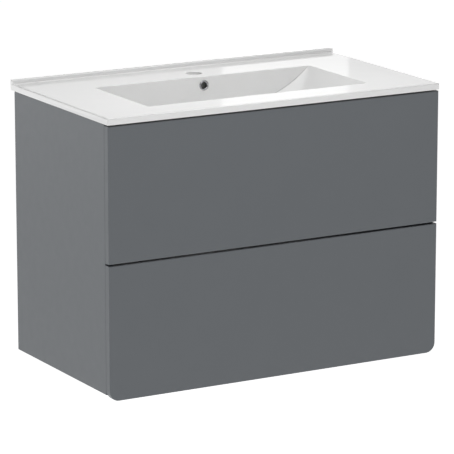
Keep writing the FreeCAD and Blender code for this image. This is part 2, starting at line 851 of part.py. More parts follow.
def front_screw_places(box_z, box_height):
    rows = (box_z + front_screw_rise, box_z + box_height - front_screw_drop)
    return [(x, z) for x in (-front_screw_x, front_screw_x) for z in rows]


def front_screw(x, z):
    """A pan-head screw from inside the box front into the front panel."""
    head_y = front_back_y + board
    top_y = head_y + pan_head_height
    head = rod(x, head_y, z, (0, 1, 0), pan_head_radius, pan_head_height)
    head = fillet_where(head, pan_head_rounding, lambda e: is_circle(e) and lies_at(e, 1, top_y))
    head = head.cut(cross_recess(x, z, top_y - pan_recess_depth, top_y, pan_recess_half_length))
    return head.fuse(rod(x, head_y, z, (0, -1, 0), screw_radius, board + front_screw_depth))


def front_panel(z, places, round_corners):
    """A front panel with softened edges; the lower one has two rounded bottom corners."""
    panel = box(-half_width, half_width, front_face_y, front_back_y, z, z + front_height)
    if round_corners:
        panel = fillet_where(panel, front_corner_radius, lambda e: runs_along(e, 1) and lies_at(e, 2, z))
    panel = fillet_where(panel, front_edge_radius, lambda e: lies_at(e, 1, front_face_y))
    panel = fillet_where(panel, edge_radius / 2, lambda e: lies_at(e, 1, front_back_y))
    for x, hole_z in places:
        panel = panel.cut(rod(x, front_back_y, hole_z, (0, -1, 0), screw_radius, front_screw_depth))
    return panel


def bottom_span(z):
    return z + bottom_lift, z + bottom_lift + bottom_board


def box_side(z, height, runner_z):
    """The right side of a drawer box, grooved for the bottom and drilled for the runner."""
    side = box(box_inner_half, box_half, front_back_y, box_back_y, z, z + height)
    side = fillet_where(side, edge_radius, lambda e: lies_at(e, 2, z + height) and runs_along(e, 1))
    groove_x = box_inner_half + groove_depth
    side = side.cut(box(0, groove_x, front_back_y + board - groove_depth, box_back_y, *bottom_span(z)))
    for y in runner_screw_places():
        side = side.cut(rod(box_half, y, runner_z, (-1, 0, 0), screw_radius, board - screw_tip_gap))
    return side


def box_front(z, height, places):
    """The box's own front, between its sides, grooved for the bottom."""
    back_y = front_back_y + board
    groove_y = back_y - groove_depth
    shape = box(-box_inner_half, box_inner_half, front_back_y, back_y, z, z + height)
    shape = fillet_where(shape, edge_radius, lambda e: lies_at(e, 2, z + height) and lies_at(e, 1, back_y))
    shape = shape.cut(box(-box_half, box_half, groove_y, back_y, *bottom_span(z)))
    for x, hole_z in places:
        shape = shape.cut(rod(x, front_back_y, hole_z, (0, 1, 0), screw_radius, board))
    return shape


def wall_on_bottom(x0, x1, y0, y1, z, height):
    """A box wall that stands on the bottom board, with its top edge softened."""
    top = z + height
    wall = box(x0, x1, y0, y1, bottom_span(z)[1], top)
    longest = 0 if x1 - x0 > y1 - y0 else 1
    return fillet_where(wall, edge_radius, lambda e: lies_at(e, 2, top) and runs_along(e, longest))


def box_bottom(z):
    """The bottom board, let into grooves at the front and sides."""
    half = box_inner_half + groove_depth
    return box(-half, half, front_back_y + board - groove_depth, box_back_y, *bottom_span(z))


def export_drawer_shell(name, box_z, box_height, runner_z, front_z, round_corners):
    """The pieces that both drawers have."""
    places = front_screw_places(box_z, box_height)
    export(name + "_drawer_front", front_panel(front_z, places, round_corners))
    export(name + "_box_front", box_front(box_z, box_height, places))
    export("right_" + name + "_box_side", box_side(box_z, box_height, runner_z))
    export("left_" + name + "_box_side", mirrored(box_side(box_z, box_height, runner_z)))
    export_group(name + "_front_screws", [front_screw(x, z) for x, z in places])


def export_upper_drawer():
    z = upper_box_z
    height = upper_box_height
    export_drawer_shell("upper", z, height, upper_runner_z, upper_front_z, False)
    inner = cutout_half_width
    outer = cutout_half_width + thin_board
    cutout_y = box_back_y - cutout_depth
    opening = box(-inner, inner, cutout_y, box_back_y, *bottom_span(z))
    export("upper_box_bottom", box_bottom(z).cut(opening))
    back = wall_on_bottom(outer, box_inner_half, box_back_y - board, box_back_y, z, height)
    export("right_upper_box_back", back)
    export("left_upper_box_back", mirrored(back))
    cutout_side = wall_on_bottom(inner, outer, cutout_y - thin_board, box_back_y, z, height)
    export("right_cutout_wall", cutout_side)
    export("left_cutout_wall", mirrored(cutout_side))
    export("front_cutout_wall", wall_on_bottom(-inner, inner, cutout_y - thin_board, cutout_y, z, height))


def export_lower_drawer():
    z = lower_box_z
    height = lower_box_height
    export_drawer_shell("lower", z, height, lower_runner_z, lower_front_z, True)
    export("lower_box_bottom", box_bottom(z))
    back = wall_on_bottom(-box_inner_half, box_inner_half, box_back_y - board, box_back_y, z, height)
    export("lower_box_back", back)


# ---------------------------------------------------------------- write every node

os.makedirs("parts", exist_ok=True)
export("washbasin", washbasin())
export("overflow_ring", overflow_ring())
export_carcass()
export_hangers()
export_runners("upper", upper_runner_z)
export_runners("lower", lower_runner_z)
export_cabinet_runner_screws()
export_latches()
export_upper_drawer()
export_lower_drawer()
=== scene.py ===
import math

import bmesh
import bpy
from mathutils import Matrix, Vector


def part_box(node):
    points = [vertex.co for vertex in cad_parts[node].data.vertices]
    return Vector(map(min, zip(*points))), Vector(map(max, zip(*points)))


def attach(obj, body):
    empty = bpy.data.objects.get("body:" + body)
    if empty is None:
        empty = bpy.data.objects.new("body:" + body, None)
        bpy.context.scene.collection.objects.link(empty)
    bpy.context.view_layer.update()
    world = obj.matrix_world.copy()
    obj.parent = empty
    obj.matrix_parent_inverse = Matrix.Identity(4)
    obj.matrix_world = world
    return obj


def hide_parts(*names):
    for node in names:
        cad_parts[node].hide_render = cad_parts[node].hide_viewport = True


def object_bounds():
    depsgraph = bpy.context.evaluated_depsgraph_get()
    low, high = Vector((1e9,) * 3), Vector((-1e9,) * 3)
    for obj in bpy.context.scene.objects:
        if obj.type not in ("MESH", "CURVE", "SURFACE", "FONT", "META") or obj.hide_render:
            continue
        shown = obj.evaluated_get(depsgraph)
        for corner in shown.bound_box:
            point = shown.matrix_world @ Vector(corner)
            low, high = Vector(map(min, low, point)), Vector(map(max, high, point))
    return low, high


# The looks of a wall-hung vanity cabinet: finishes, a finely meshed washbasin, studio and camera.
# Metres and degrees, in the part's own frame: X to the right, Y towards the wall, Z up.

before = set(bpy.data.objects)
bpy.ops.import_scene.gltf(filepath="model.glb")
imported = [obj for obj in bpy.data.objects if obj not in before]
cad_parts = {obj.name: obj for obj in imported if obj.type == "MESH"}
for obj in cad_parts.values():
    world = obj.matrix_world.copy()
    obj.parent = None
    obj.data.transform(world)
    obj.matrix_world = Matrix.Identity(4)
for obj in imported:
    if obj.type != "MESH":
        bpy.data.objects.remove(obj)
cad_low, cad_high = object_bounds()
middle = (cad_low + cad_high) / 2

# ---- Camera ----
VIEW_AZIMUTH = -29.6
VIEW_ELEVATION = 13.15
CAMERA_DISTANCE = 7.0
CAMERA_LENS = 256.6             # millimetres, on a 36 mm sensor
CAMERA_REACH = 100.0
AIM_RIGHT = 0.0037              # from the middle of the object to the point aimed at
AIM_UP = -0.0215

# ---- Overflow trim: distance along its axis (less than 0 stands proud of the bowl) and radius ----
TRIM_PROFILE = (
    (0.0002, 0.0109),
    (-0.0005, 0.0110),
    (-0.0011, 0.0108),
    (-0.0016, 0.0104),
    (-0.0019, 0.0098),
    (-0.0020, 0.0091),
    (-0.0019, 0.0084),
    (-0.0015, 0.0077),
    (-0.0008, 0.0071),
    (0.0002, 0.0068),
    (0.0060, 0.0067),
    (0.0060, 0.0089),
    (0.0002, 0.0089),
)
TRIM_SHARP_ANGLE = 50           # between faces, in degrees, where its shading breaks

# ---- Washbasin: its outer box comes from the frame ----
LEDGE_HEIGHT = 0.009
LEDGE_DEPTH = 0.0105
LEDGE_FOOT_RADIUS = 0.0022
RIM_RADIUS = 0.0028
RIM_CORNER_RADIUS = 0.004
UNDERSIDE_RADIUS = 0.0008
BOWL_HALF_WIDTH = 0.266
BOWL_FRONT = -0.371
BOWL_BACK = -0.1295
BOWL_DEPTH = 0.073
RAMP_RADIUS = 0.290             # of the two ramps, from the floor out to the bowl's ends
FRONT_DRAFT = 10.0              # lean of the bowl's front and back walls, in degrees
BACK_DRAFT = 4.0
FLOOR_RADIUS = 0.024
CREASE_RADIUS = 0.0012          # where a ramp meets the front and back walls
SHARPEST_CREASE = 0.25          # share of that radius left at the floor
LIP_DROP = 0.0016               # how far the lip's rounding reaches down the walls
LIP_RUN = 1.1                   # how far it reaches out over the deck, for each unit of drop
LIP_PROUD = 0.00002             # lifts the cutting tool's lip clear of the deck's own plane
CERAMIC = 0.009
TAP_Y = -0.086
TAP_HOLE_RADIUS = 0.0175
TAP_HOLE_ROUNDING = 0.0012
WASTE_Y = -0.240
WASTE_HOLE_RADIUS = 0.023
WASTE_BOSS_RADIUS = 0.038
WASTE_BOSS_ROUNDING = 0.002
WASTE_SEAT_RADIUS = 0.0035
OVERFLOW_HOLE_RADIUS = 0.009
OVERFLOW_DROP = 0.0195          # from the deck to the overflow's centre
DUCT_HALF_WIDTH = 0.016
DUCT_THICKNESS = 0.009
DUCT_WALL = 0.007
SKIN = 0.001                    # how far joined solids reach into each other
MEET_TOLERANCE = 1e-6           # how close two coordinates count as the same
BASIN_SHARP_ANGLE = 28

# Facets of the washbasin's curves
ARC_STEPS = 48                  # rings down the bowl
CORNER_STEPS = 4
HOLE_STEPS = 96
LIP_STEPS = 6
SEAT_STEPS = 6
TAP_STEPS = 4
RIM_STEPS = 5
RIM_CORNER_STEPS = 6
FOOT_STEPS = 4
UNDERSIDE_STEPS = 2


# ---------------------------------------------------------------- finishes

class Finish:
    """A material being made: its shader and shorthand for procedural nodes, in object coordinates."""

    def __init__(self, name, colour, roughness, metallic=0.0):
        self.material = bpy.data.materials.new(name)
        self.material.use_nodes = True
        self.tree = self.material.node_tree
        self.shader = self.tree.nodes["Principled BSDF"]
        self.shader.inputs["Base Color"].default_value = (*colour, 1.0)
        self.shader.inputs["Roughness"].default_value = roughness
        self.shader.inputs["Metallic"].default_value = metallic
        self.place = self.tree.nodes.new("ShaderNodeTexCoord")
        self.last_bump = None

    def link(self, output, target):
        self.tree.links.new(output, target)

    def stretched(self, scale, stretch):
        """Object coordinates, scaled to so many features a metre, less along a stretched axis."""
        mapping = self.tree.nodes.new("ShaderNodeMapping")
        mapping.inputs["Scale"].default_value = [scale / along for along in stretch]
        self.link(self.place.outputs["Object"], mapping.inputs["Vector"])
        return mapping.outputs["Vector"]

    def noise(self, scale, detail=2.0, stretch=(1, 1, 1)):
        node = self.tree.nodes.new("ShaderNodeTexNoise")
        node.inputs["Scale"].default_value = 1.0
        node.inputs["Detail"].default_value = detail
        self.link(self.stretched(scale, stretch), node.inputs["Vector"])
        return node.outputs["Fac"]

    def grains(self, scale, stretch=(1, 1, 1)):
        """A random grey for each grain of a cell pattern."""
        node = self.tree.nodes.new("ShaderNodeTexVoronoi")
        node.inputs["Scale"].default_value = 1.0
        self.link(self.stretched(scale, stretch), node.inputs["Vector"])
        split = self.tree.nodes.new("ShaderNodeSeparateColor")
        self.link(node.outputs["Color"], split.inputs["Color"])
        return split.outputs["Red"]

    def spread(self, value, low, high, start=0.3, end=0.7):
        """A pattern's values from start to end, spread over low to high."""
        node = self.tree.nodes.new("ShaderNodeMapRange")
        node.inputs["From Min"].default_value = start
        node.inputs["From Max"].default_value = end
        node.inputs["To Min"].default_value = low
        node.inputs["To Max"].default_value = high
        self.link(value, node.inputs["Value"])
        return node.outputs["Result"]

    def maths(self, operation, first, second):
        node = self.tree.nodes.new("ShaderNodeMath")
        node.operation = operation
        for value, socket in ((first, node.inputs[0]), (second, node.inputs[1])):
            if isinstance(value, (int, float)):
                socket.default_value = value
            else:
                self.link(value, socket)
        return node.outputs["Value"]

    def blend(self, share, first, second):
        """A mix of two colours; each is a colour or another node's output."""
        node = self.tree.nodes.new("ShaderNodeMix")
        node.data_type = "RGBA"
        self.link(share, node.inputs["Factor"])
        for value, socket in ((first, node.inputs[6]), (second, node.inputs[7])):
            if isinstance(value, tuple):
                socket.default_value = (*value, 1.0)
            else:
                self.link(value, socket)
        return node.outputs[2]

    def openness(self, reach):
        """1 on open faces, less in inner corners and joints that are narrower than the reach in metres."""
        node = self.tree.nodes.new("ShaderNodeAmbientOcclusion")
        node.samples = OPENNESS_SAMPLES
        node.inputs["Distance"].default_value = reach
        return node.outputs["AO"]

    def facing(self, axis, threshold=0.7):
        """1 on faces whose normal points along an axis: +X, -X, +Y and so on."""
        split = self.tree.nodes.new("ShaderNodeSeparateXYZ")
        self.link(self.place.outputs["Normal"], split.inputs["Vector"])
        value = split.outputs[axis[1]]
        if axis[0] == "-":
            value = self.maths("MULTIPLY", value, -1.0)
        return self.maths("GREATER_THAN", value, threshold)

    def colour(self, output):
        self.link(output, self.shader.inputs["Base Color"])

    def roughness(self, output):
        self.link(output, self.shader.inputs["Roughness"])

    def bump(self, height, depth):
        """Relief of a depth in metres; later calls lie on top of earlier ones."""
        node = self.tree.nodes.new("ShaderNodeBump")
        node.inputs["Strength"].default_value = 1.0
        node.inputs["Distance"].default_value = depth
        self.link(height, node.inputs["Height"])
        if self.last_bump:
            self.link(self.last_bump.outputs["Normal"], node.inputs["Normal"])
        self.link(node.outputs["Normal"], self.shader.inputs["Normal"])
        self.last_bump = node


OPENNESS_SAMPLES = 16
CORNER_SHADE_REACH = 0.0035             # how wide the painted shade in a corner is
# the grey of the painted shade in the glaze's inner corners
PAINTED_CORNER_SHADE = (0.50, 0.50, 0.50)
GRAPHITE = (0.126, 0.138, 0.150)
GRAPHITE_LIGHT = (0.131, 0.143, 0.155)


def graphite_lacquer():
    """Satin lacquer: fine pigment, slow drifts of tone and sheen, and a shallow orange peel."""
    made = Finish("graphite_satin_lacquer", GRAPHITE, 0.45)
    made.colour(made.blend(made.noise(9.0, 3.0), GRAPHITE, GRAPHITE_LIGHT))
    made.roughness(made.spread(made.noise(30.0, 4.0), 0.42, 0.48))
    made.bump(made.noise(260.0, 1.0), 0.000012)
    made.bump(made.noise(2600.0, 2.0), 0.000003)
    return made.material


def chipboard(made):
    """The colour of a sawn chipboard edge: pale and dark flakes, flat along the board."""
    flakes = made.grains(420.0, (1.0, 1.0, 2.6))
    fine = made.noise(900.0, 4.0, (1.0, 1.0, 2.0))
    pale = made.blend(fine, (0.42, 0.29, 0.17), (0.60, 0.46, 0.30))
    dark = made.spread(flakes, 0.0, 1.0, 0.72, 0.8)
    return made.blend(dark, pale, (0.23, 0.14, 0.08))


def graphite_board():
    """Satin melamine with a fine pore."""
    made = Finish("graphite_melamine", GRAPHITE, 0.45)
    made.colour(made.blend(made.noise(12.0, 3.0), GRAPHITE, GRAPHITE_LIGHT))
    made.roughness(made.spread(made.noise(45.0, 4.0), 0.43, 0.48))
    made.bump(made.noise(1500.0, 3.0), 0.000008)
    return made.material


def graphite_panel():
    """The same melamine with a raw chipboard edge at the back, where no banding is needed."""
    made = Finish("graphite_melamine_panel", GRAPHITE, 0.45)
    face = made.blend(made.noise(12.0, 3.0), GRAPHITE, GRAPHITE_LIGHT)
    raw = made.facing("+Y")
    made.colour(made.blend(raw, face, chipboard(made)))
    sheen = made.spread(made.noise(45.0, 4.0), 0.43, 0.48)
    made.roughness(made.maths("ADD", sheen, made.maths("MULTIPLY", raw, 0.4)))
    made.bump(made.noise(1500.0, 3.0), 0.000008)
    return made.material


def linen_board():
    """Light grey melamine with an embossed linen weave."""
    made = Finish("linen_melamine", (0.42, 0.42, 0.41), 0.5)
    across = made.noise(1300.0, 2.0, (14.0, 14.0, 1.0))
    along = made.noise(1300.0, 2.0, (1.0, 1.0, 14.0))
    weave = made.maths("MAXIMUM", across, along)
    thread = made.spread(weave, 0.0, 1.0, 0.45, 0.7)
    made.colour(made.blend(thread, (0.37, 0.37, 0.36), (0.48, 0.48, 0.47)))
    made.roughness(made.spread(made.noise(60.0, 3.0), 0.45, 0.56))
    made.bump(weave, 0.00006)
    return made.material


def glazed_ceramic():
    """White glaze, darkened by painted shade in inner corners and creases; the seat on the cabinet is left
    unglazed.
    """
    glaze = (0.86, 0.86, 0.855)
    made = Finish("white_glaze", glaze, 0.06)
    made.shader.inputs["IOR"].default_value = 1.52
    tone = made.blend(made.noise(7.0, 2.0), glaze, (0.875, 0.875, 0.872))
    # Painted shade: ambient occlusion mixes a grey into the glaze in inner corners, creases and the ledge's
    # foot.
    unshaded = made.spread(made.openness(CORNER_SHADE_REACH), 0.0, 1.0, 0.45, 0.9)
    tone = made.blend(unshaded, PAINTED_CORNER_SHADE, tone)
    under = made.facing("-Z", 0.97)
    bisque = made.blend(made.noise(700.0, 4.0), (0.70, 0.66, 0.60), (0.78, 0.75, 0.70))
    made.colour(made.blend(under, tone, bisque))
    gloss = made.spread(made.noise(25.0, 3.0), 0.04, 0.09)
    made.roughness(made.maths("ADD", gloss, made.maths("MULTIPLY", under, 0.65)))
    made.bump(made.noise(22.0, 1.0), 0.00012)
    made.bump(made.noise(380.0, 1.0), 0.0000025)
    return made.material


def chrome():
    made = Finish("polished_chrome", (0.44, 0.45, 0.47), 0.07, 1.0)
    made.roughness(made.spread(made.noise(500.0, 4.0), 0.04, 0.13))
    made.bump(made.noise(2500.0, 2.0, (6.0, 1.0, 1.0)), 0.0000015)
    return made.material


def zinc_steel():
    """Rolled and galvanised sheet: streaks along the rolling direction and a faint tint."""
    made = Finish("zinc_plated_sheet", (0.47, 0.48, 0.50), 0.34, 1.0)
    streaks = made.noise(900.0, 3.0, (1.0, 40.0, 1.0))
    made.colour(made.blend(made.noise(35.0, 3.0), (0.43, 0.45, 0.48), (0.53, 0.53, 0.51)))
    made.roughness(made.spread(streaks, 0.26, 0.44))
    made.bump(streaks, 0.000006)
    return made.material


def bright_steel():
    """Hardened balls in pressed cages, with a film of grease that dulls them in places."""
    made = Finish("bright_steel", (0.64, 0.64, 0.63), 0.2, 1.0)
    grease = made.noise(260.0, 3.0)
    made.colour(made.blend(grease, (0.66, 0.66, 0.65), (0.52, 0.50, 0.45)))
    made.roughness(made.spread(grease, 0.12, 0.34))
    made.bump(made.noise(1800.0, 2.0), 0.000003)
    return made.material


def zinc_screw():
    made = Finish("zinc_plated_screw", (0.58, 0.58, 0.59), 0.3, 1.0)
    made.colour(made.blend(made.noise(180.0, 3.0), (0.50, 0.53, 0.58), (0.66, 0.64, 0.56)))
    made.roughness(made.spread(made.noise(700.0, 3.0), 0.22, 0.42))
    made.bump(made.noise(2200.0, 2.0), 0.00001)
    return made.material


def zinc_cast():
    """Die-cast zinc: a dull, slightly sandy skin."""
    made = Finish("die_cast_zinc", (0.50, 0.50, 0.52), 0.5, 1.0)
    made.colour(made.blend(made.noise(300.0, 4.0), (0.44, 0.44, 0.46), (0.56, 0.56, 0.57)))
    made.roughness(made.spread(made.noise(900.0, 3.0), 0.42, 0.6))
    made.bump(made.noise(1600.0, 4.0), 0.00002)
    return made.material


def moulded_plastic(name, dark, light):
    """Spark-eroded moulded plastic: a fine even grain and slow flow marks."""
    made = Finish(name, dark, 0.45)
    made.colour(made.blend(made.noise(60.0, 3.0), dark, light))
    made.roughness(made.spread(made.noise(110.0, 4.0), 0.38, 0.54))
    made.bump(made.noise(2100.0, 2.0), 0.00001)
    return made.material


def beech():
    """Turned beech: long grain with short dark flecks."""
    made = Finish("beech", (0.60, 0.42, 0.25), 0.55)
    grain = made.noise(900.0, 4.0, (22.0, 1.0, 1.0))
    wood = made.blend(made.spread(grain, 0.0, 1.0), (0.54, 0.36, 0.20), (0.68, 0.50, 0.32))
    flecks = made.spread(made.noise(1800.0, 2.0, (9.0, 1.0, 1.0)), 0.0, 0.7, 0.62, 0.72)
    made.colour(made.blend(flecks, wood, (0.36, 0.21, 0.11)))
    made.roughness(made.spread(grain, 0.5, 0.68))
    made.bump(grain, 0.00005)
    return made.material


def rubber():
    made = Finish("black_rubber", (0.03, 0.03, 0.03), 0.75)
    made.colour(made.blend(made.noise(90.0, 3.0), (0.026, 0.026, 0.027), (0.045, 0.045, 0.044)))
    made.roughness(made.spread(made.noise(400.0, 3.0), 0.66, 0.84))
    made.bump(made.noise(1300.0, 3.0), 0.00002)
    return made.material


FINISHES = {
    "graphite_lacquer": graphite_lacquer(),
    "graphite_board": graphite_board(),
    "box_board": linen_board(),
    "glazed_ceramic": glazed_ceramic(),
    "chrome": chrome(),
    "zinc_steel": zinc_steel(),
    "bright_steel": bright_steel(),
    "zinc_screw": zinc_screw(),
    "zinc_cast": zinc_cast(),
    "white_plastic": moulded_plastic("white_plastic_moulding", (0.74, 0.74, 0.72), (0.80, 0.80, 0.79)),
    "grey_plastic": moulded_plastic("grey_plastic_moulding", (0.17, 0.17, 0.18), (0.22, 0.22, 0.23)),
    "beech": beech(),
    "rubber": rubber(),
}
RAW_BACKED = ("left_side_panel", "right_side_panel", "bottom_panel")


def dress_nodes():
    """Gives every CAD node the finish of its material slot; three panels have a raw back edge too."""
    panel_finish = graphite_panel()
    for name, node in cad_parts.items():
        for slot in node.material_slots:
            slot_name = slot.material.name.split(".")[0]
            slot.material = panel_finish if name in RAW_BACKED else FINISHES[slot_name]


# ---------------------------------------------------------------- mesh helpers

FLAT_FACE_WEIGHT = 100          # the most that a weighted normal can lean to the larger face


def object_from(mesh_data, name):
    mesh = bpy.data.meshes.new(name)
    mesh_data.normal_update()
    mesh_data.to_mesh(mesh)
    mesh_data.free()
    made = bpy.data.objects.new(name, mesh)
    bpy.context.scene.collection.objects.link(made)
    return made


def ring_loops(data, rings):
    return [[data.verts.new(point) for point in ring] for ring in rings]


def join_loops(data, lower, upper):
    """A band of four-sided faces between two closed loops."""
    count = len(lower)
    for index in range(count):
        after = (index + 1) % count
        data.faces.new((lower[index], lower[after], upper[after], upper[index]))


def lofted(rings, name):
    """A closed skin over rings of points that all have the same count, with flat ends."""
    data = bmesh.new()
    loops = ring_loops(data, rings)
    for lower, upper in zip(loops, loops[1:]):
        join_loops(data, lower, upper)
    data.faces.new(list(reversed(loops[0])))
    data.faces.new(loops[-1])
    bmesh.ops.recalc_face_normals(data, faces=data.faces)
    return object_from(data, name)


def circle(centre, across, up, radius):
    """Points round a circle in the plane of two unit vectors."""
    turns = [2 * math.pi * index / HOLE_STEPS for index in range(HOLE_STEPS)]
    return [centre + across * (radius * math.cos(t)) + up * (radius * math.sin(t)) for t in turns]


def turned_rings(start, axis, stations):
    """Circles square to an axis with no X part; stations are (distance along the axis, radius)."""
    across = Vector((1, 0, 0))
    up = axis.cross(across)
    return [circle(start + axis * along, across, up, radius) for along, radius in stations]


def turned(start, axis, stations, name):
    return lofted(turned_rings(start, axis.normalized(), stations), name)


def rectangle(half_x, y_front, y_back, z, corner):
    """A ring of points: a rectangle with rounded corners, at one height."""
    points = []
    corners = (
        (half_x, y_front, 1, 1, -90),
        (half_x, y_back, 1, -1, 0),
        (-half_x, y_back, -1, -1, 90),
        (-half_x, y_front, -1, 1, 180),
    )
    for x, y, side, inward, start in corners:
        centre_x = x - side * corner
        centre_y = y + inward * corner
        for step in range(CORNER_STEPS + 1):
            angle = math.radians(start + 90 * step / CORNER_STEPS)
            x_round = centre_x + corner * math.cos(angle)
            y_round = centre_y + corner * math.sin(angle)
            points.append(Vector((x_round, y_round, z)))
    return points


def combine(target, tool, operation):
    """Joins or cuts two closed solids, keeps the result in the target and deletes the tool."""
    modifier = target.modifiers.new("combine", "BOOLEAN")
    modifier.operation = operation
    modifier.solver = "EXACT"
    modifier.object = tool
    graph = bpy.context.evaluated_depsgraph_get()
    mesh = bpy.data.meshes.new_from_object(target.evaluated_get(graph))
    target.modifiers.remove(modifier)
    target.data = mesh
    bpy.data.objects.remove(tool)


def round_edges(data, chosen, radius, steps):
    edges = [edge for edge in data.edges if chosen(*[vertex.co for vertex in edge.verts])]
    bmesh.ops.bevel(
        data, geom=edges, offset=radius, offset_type="OFFSET", segments=steps, profile=0.5, affect="EDGES"
    )


def smooth(piece, sharp_angle):
    """Smooth shading, except across sharp edges, with large faces kept flat."""
    piece.data.polygons.foreach_set("use_smooth", [True] * len(piece.data.polygons))
    piece.data.set_sharp_from_angle(angle=math.radians(sharp_angle))
    modifier = piece.modifiers.new("weighted_normals", "WEIGHTED_NORMAL")
    modifier.keep_sharp = True
    modifier.weight = FLAT_FACE_WEIGHT


# ---------------------------------------------------------------- washbasin

def near(first, second):
    return abs(first - second) < MEET_TOLERANCE


def slab(low, high, under_z, deck_z):
    """The flat top and its back ledge, with every edge softened."""
    half = high.x
    outline = [
        (high.y, under_z),
        (high.y, high.z),
        (-LEDGE_DEPTH, high.z),
        (-LEDGE_DEPTH, deck_z),
        (low.y, deck_z),
        (low.y, under_z),
    ]
    data = bmesh.new()
    ends = ring_loops(data, [[(x, y, z) for y, z in outline] for x in (-half, half)])
    join_loops(data, *ends)
    for end in ends:
        data.faces.new(end)
    bmesh.ops.recalc_face_normals(data, faces=data.faces)

    def front_corner(a, b):
        return near(a.y, low.y) and near(b.y, low.y) and near(a.x, b.x)

    round_edges(data, front_corner, RIM_CORNER_RADIUS, RIM_CORNER_STEPS)

    def foot(a, b):
        on_face = near(a.y, -LEDGE_DEPTH) and near(b.y, -LEDGE_DEPTH)
        return on_face and near(a.z, deck_z) and near(b.z, deck_z)

    def rim(a, b):
        at_deck = near(a.z, deck_z) and near(b.z, deck_z) and not foot(a, b)
        at_wall = near(a.y, high.y) and near(b.y, high.y)
        at_top = near(a.z, high.z) and near(b.z, high.z) and not at_wall
        ledge_end = near(a.y, -LEDGE_DEPTH) and near(b.y, -LEDGE_DEPTH) and near(a.x, b.x)
        return at_deck or at_top or ledge_end

    def underside(a, b):
        return near(a.z, under_z) and near(b.z, under_z)

    round_edges(data, rim, RIM_RADIUS, RIM_STEPS)
    round_edges(data, underside, UNDERSIDE_RADIUS, UNDERSIDE_STEPS)
    round_edges(data, foot, LEDGE_FOOT_RADIUS, FOOT_STEPS)
    return object_from(data, "basin")


def wall_place(lip_y, side, draft, depth, foot_radius, height):
    """Y of a leaning bowl wall at a height above the floor; side is 1 for the back wall, -1 for the front."""
    lean = math.radians(draft)

    def straight(h):
        return lip_y - side * (depth - h) * math.tan(lean)

    if height > foot_radius * (1 - math.sin(lean)):
        return straight(height)
    centre = straight(foot_radius) - side * foot_radius / math.cos(lean)
    return centre + side * math.sqrt(max(0.0, foot_radius ** 2 - (foot_radius - height) ** 2))


def bowl_rings(grow, floor_z, top_z):
    """Level outlines of the bowl from its floor up: rectangles that widen along the two ramps."""
    radius = RAMP_RADIUS + grow
    depth = BOWL_DEPTH + grow
    run = math.sqrt(RAMP_RADIUS ** 2 - (RAMP_RADIUS - BOWL_DEPTH) ** 2)
    centre_x = BOWL_HALF_WIDTH - run
    last = math.acos(1 - (top_z - floor_z) / radius)
    rings = []
    for step in range(ARC_STEPS + 1):
        angle = last * step / ARC_STEPS
        height = radius * (1 - math.cos(angle))
        front = wall_place(BOWL_FRONT - grow, -1, FRONT_DRAFT, depth, FLOOR_RADIUS + grow, height)
        back = wall_place(BOWL_BACK + grow, 1, BACK_DRAFT, depth, FLOOR_RADIUS + grow, height)
        corner = (CREASE_RADIUS + grow) * min(1.0, SHARPEST_CREASE + step / ARC_STEPS)
        rings.append(rectangle(centre_x + radius * math.sin(angle), front, back, floor_z + height, corner))
    return rings


def bowl_hollow(floor_z, deck_z):
    """The bowl's inside, with a rounded lip that runs out level with the deck."""
    lip_z = deck_z - LIP_DROP
    rings = bowl_rings(0.0, floor_z, lip_z)
    last = rings[-1]
    out = LIP_DROP * LIP_RUN
    wide = rectangle(BOWL_HALF_WIDTH + out, BOWL_FRONT - out, BOWL_BACK + out, deck_z, CREASE_RADIUS + out)
    edge = rectangle(BOWL_HALF_WIDTH, BOWL_FRONT, BOWL_BACK, deck_z, CREASE_RADIUS)
    for step in range(1, LIP_STEPS + 1):
        t = step / LIP_STEPS
        rings.append([
            start * (1 - t) ** 2 + middle * (2 * t * (1 - t)) + end * t ** 2
            for start, middle, end in zip(last, edge, wide)
        ])
    proud = Vector((0, 0, LIP_PROUD))
    rings[-1] = [point + proud for point in rings[-1]]
    rings.append([point + Vector((0, 0, CERAMIC)) for point in rings[-1]])
    return lofted(rings, "bowl_hollow")


def plain_box(low, high, name):
    ring = [(low[0], low[1]), (high[0], low[1]), (high[0], high[1]), (low[0], high[1])]
    return lofted([[Vector((x, y, z)) for x, y in ring] for z in (low[2], high[2])], name)


def mouth(radius, rounding, length, steps, beyond):
    """Stations of a hole of a length whose far edge is rounded, with the tool reaching beyond it."""
    stations = [(-SKIN, radius), (length - rounding, radius)]
    for step in range(1, steps + 1):
        angle = math.pi / 2 * step / steps
        along = length - rounding * (1 - math.sin(angle))
        stations.append((along, radius + rounding * (1 - math.cos(angle))))
    stations.append((length + beyond, radius + rounding))
    return stations


def add_duct(basin, under_z, outer_z):
    """The overflow duct's outside: an upright behind the bowl and a foot that leads to the waste."""
    half = DUCT_HALF_WIDTH + DUCT_WALL
    back = BOWL_BACK + DUCT_WALL + DUCT_THICKNESS + DUCT_WALL
    bottom = outer_z - SKIN - DUCT_THICKNESS - DUCT_WALL
    upright = plain_box((-half, BOWL_BACK - CERAMIC, bottom), (half, back, under_z + SKIN), "upright")
    combine(basin, upright, "UNION")
    foot = plain_box((-half, WASTE_Y, bottom), (half, back - SKIN, outer_z + CERAMIC / 2), "duct_foot")
    combine(basin, foot, "UNION")


def hollow_duct(basin, under_z, outer_z):
    """The water's way inside the duct, from behind the overflow down and forwards to the waste."""
    half = DUCT_HALF_WIDTH
    front = BOWL_BACK + DUCT_WALL
    top = outer_z - SKIN
    bottom = top - DUCT_THICKNESS
    cavity = plain_box((-half, front, bottom), (half, front + DUCT_THICKNESS, under_z - SKIN), "cavity")
    passage = plain_box((-half, WASTE_Y, bottom), (half, front + SKIN, top), "passage")
    combine(basin, cavity, "DIFFERENCE")
    combine(basin, passage, "DIFFERENCE")


